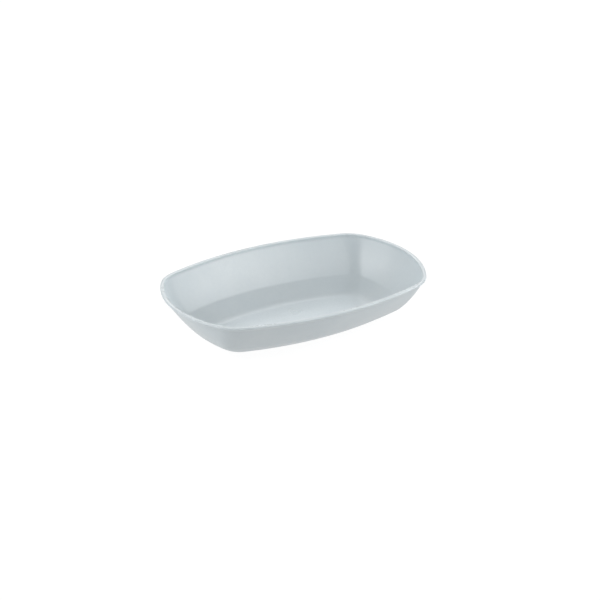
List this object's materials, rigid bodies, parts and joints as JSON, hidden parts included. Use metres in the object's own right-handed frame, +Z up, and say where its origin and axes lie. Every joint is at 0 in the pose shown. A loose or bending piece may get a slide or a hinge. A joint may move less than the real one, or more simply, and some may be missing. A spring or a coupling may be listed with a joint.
{
  "type": "kidney dish",
  "caption": "Shallow one-piece plastic ward dish with a flat floor, outward-leaning walls that bend at a knee, and a rounded lip, for holding instruments, swabs or dressings.",
  "frame": {"origin": "middle of the plane that the foot ring stands on", "axes": "+X along the dish's length, +Y across its width, +Z up"},
  "size_m": [0.25, 0.167, 0.0456],
  "materials": {
    "moulded_plastic": "satin"
  },
  "bodies": {
    "root": {"dish_body": "moulded_plastic"}
  },
  "joints": []
}
